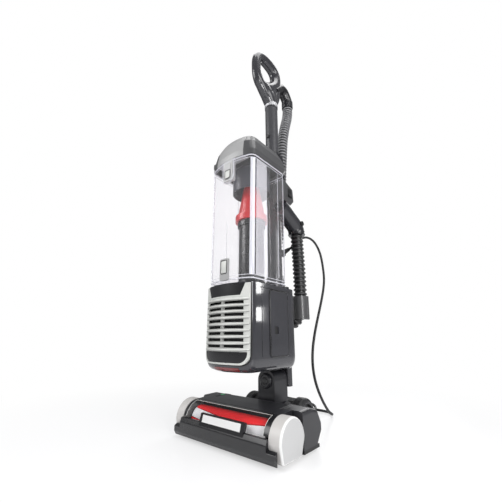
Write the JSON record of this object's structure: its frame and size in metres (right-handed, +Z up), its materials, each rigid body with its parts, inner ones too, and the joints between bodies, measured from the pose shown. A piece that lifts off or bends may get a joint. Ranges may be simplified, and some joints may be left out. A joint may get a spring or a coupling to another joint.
{
  "type": "upright vacuum cleaner",
  "caption": "Upright bagless vacuum cleaner with a wide floor head, swivelling neck, motor pod with a slotted front, clear cyclone dust cup, lift-out wand, loop handle, ribbed hose and cord.",
  "frame": {"origin": "on the floor under the middle of the cleaner's box, the cord left out", "axes": "+Z up, +Y to the rear, +X to the right seen from behind the handle"},
  "size_m": [0.2961, 0.4242, 1.1511],
  "materials": {
    "dark_plastic": "gloss dark charcoal",
    "black_plastic": "satin black",
    "grey_plastic": "satin mid grey",
    "light_plastic": "satin light grey",
    "white_plastic": "gloss white",
    "cap_plastic": "satin warm light grey",
    "red_plastic": "gloss red",
    "dark_red_plastic": "gloss dark red",
    "clear_plastic": "clear, faint violet tint",
    "green_lens": "clear green",
    "bristle_red": "short red pile",
    "bristle_white": "short white pile",
    "felt": "felt",
    "foam": "open foam",
    "filter_paper": "pleated paper",
    "rubber": "matte",
    "hose_plastic": "satin black, ribbed",
    "cord_rubber": "matte black",
    "silver": "bright silver",
    "steel": "bright",
    "motor_metal": "satin"
  },
  "bodies": {
    "head": {"head_cover": "dark_plastic", "sole_plate": "black_plastic", "front_bumper": "black_plastic", "bumper_badge": "white_plastic", "brush_window": "clear_plastic", "end_cap_left": "cap_plastic", "end_cap_right": "cap_plastic", "indicator_lens": "green_lens", "glide_pads": "felt", "brush_bearings": "steel", "drive_belt": "rubber", "brush_motor": "motor_metal", "rear_axle": "steel", "head_screws": "steel", "cord_lower": "cord_rubber", "cord_coil": "cord_rubber", "cord_tie": "black_plastic", "cord_plug": "cord_rubber"},
    "brush_roll": {"brush_core": "black_plastic", "brush_bands_red": "bristle_red", "brush_bands_white": "bristle_white"},
    "motor_shaft": {"motor_pulley": "steel"},
    "left_wheel": {"rear_wheel_left": "black_plastic"},
    "right_wheel": {"rear_wheel_right": "black_plastic"},
    "neck": {"neck_yoke": "dark_plastic", "neck_pivot_pin": "dark_plastic"},
    "upright": {"spine": "dark_plastic", "pod_shell": "dark_plastic", "pod_deck": "black_plastic", "foam_filter": "foam", "suction_motor": "motor_metal", "exhaust_filter": "filter_paper", "pod_accent": "dark_red_plastic", "side_panel_left": "dark_plastic", "side_panel_right": "dark_plastic", "switch_housing": "dark_plastic", "hose_elbow": "dark_plastic", "hose_clip": "dark_plastic", "hose": "hose_plastic", "cord_gland": "cord_rubber", "cord_upper": "cord_rubber"},
    "fan": {"fan_wheel": "motor_metal"},
    "filter_cover": {"grille_frame": "light_plastic", "pod_front_panel": "dark_plastic"},
    "rocker": {"power_switch": "black_plastic"},
    "wand": {"wand_tube": "dark_plastic", "wand_ring": "silver", "handle": "dark_plastic", "hose_cuff": "black_plastic"},
    "wand_release": {"wand_button": "black_plastic"},
    "dust_cup_unit": {"dust_cup": "clear_plastic", "cup_door": "clear_plastic", "cyclone_column": "black_plastic", "cyclone_cone": "red_plastic", "cyclone_shroud": "grey_plastic", "cup_lid": "grey_plastic", "lid_front_panel": "light_plastic"},
    "latch": {"door_latch": "light_plastic"},
    "cup_release": {"cup_release_button": "light_plastic"}
  },
  "joints": [
    {"name": "recline", "type": "hinge", "parent": "head", "child": "neck", "pos_m": [0, 0.03825, 0.038], "axis": [-1, 0, 0], "range_deg": [0, 60], "deforming": ["cord_lower"]},
    {"name": "neck_swivel", "type": "hinge", "parent": "neck", "child": "upright", "pos_m": [0, 0.03525, 0.111], "axis": [0, 1, 0], "range_deg": [-30, 30], "deforming": ["cord_upper"]},
    {"name": "left_wheel_spin", "type": "hinge", "parent": "head", "child": "left_wheel", "pos_m": [-0.0705, 0.03825, 0.038], "axis": [1, 0, 0], "continuous": true},
    {"name": "right_wheel_spin", "type": "hinge", "parent": "head", "child": "right_wheel", "pos_m": [0.0705, 0.03825, 0.038], "axis": [1, 0, 0], "continuous": true},
    {"name": "brush_spin", "type": "hinge", "parent": "head", "child": "brush_roll", "pos_m": [0, -0.11775, 0.035], "axis": [1, 0, 0], "continuous": true},
    {"name": "motor_spin", "type": "hinge", "parent": "head", "child": "motor_shaft", "pos_m": [-0.11, -0.04875, 0.042], "axis": [1, 0, 0], "continuous": true},
    {"name": "fan_spin", "type": "hinge", "parent": "upright", "child": "fan", "pos_m": [0, -0.05275, 0.267], "axis": [0, 0, 1], "continuous": true},
    {"name": "filter_cover_pull", "type": "slide", "parent": "upright", "child": "filter_cover", "axis": [0, -1, 0], "range_m": [0, 0.06]},
    {"name": "power_rocker", "type": "hinge", "parent": "upright", "child": "rocker", "pos_m": [0.0465, 0.05725, 0.624], "axis": [0, 1, 0], "range_deg": [0, 16]},
    {"name": "wand_lift", "type": "slide", "parent": "upright", "child": "wand", "axis": [0, 0, 1], "range_m": [0, 0.12], "deforming": ["hose"]},
    {"name": "wand_button_press", "type": "slide", "parent": "wand", "child": "wand_release", "axis": [0, 1, 0], "range_m": [0, 0.003], "stiffness_N_per_m": 800},
    {"name": "cup_lift", "type": "slide", "parent": "upright", "child": "dust_cup_unit", "axis": [0, -0.5, 0.866], "range_m": [0, 0.3]},
    {"name": "door_latch_press", "type": "slide", "parent": "dust_cup_unit", "child": "latch", "axis": [0, 0, -1], "range_m": [0, 0.003], "stiffness_N_per_m": 800},
    {"name": "cup_release_press", "type": "slide", "parent": "dust_cup_unit", "child": "cup_release", "axis": [0, 1, 0], "range_m": [0, 0.003], "stiffness_N_per_m": 800}
  ],
  "couplings": [
    {"joint": "motor_spin", "follows": "brush_spin", "ratio": 2.5}
  ]
}
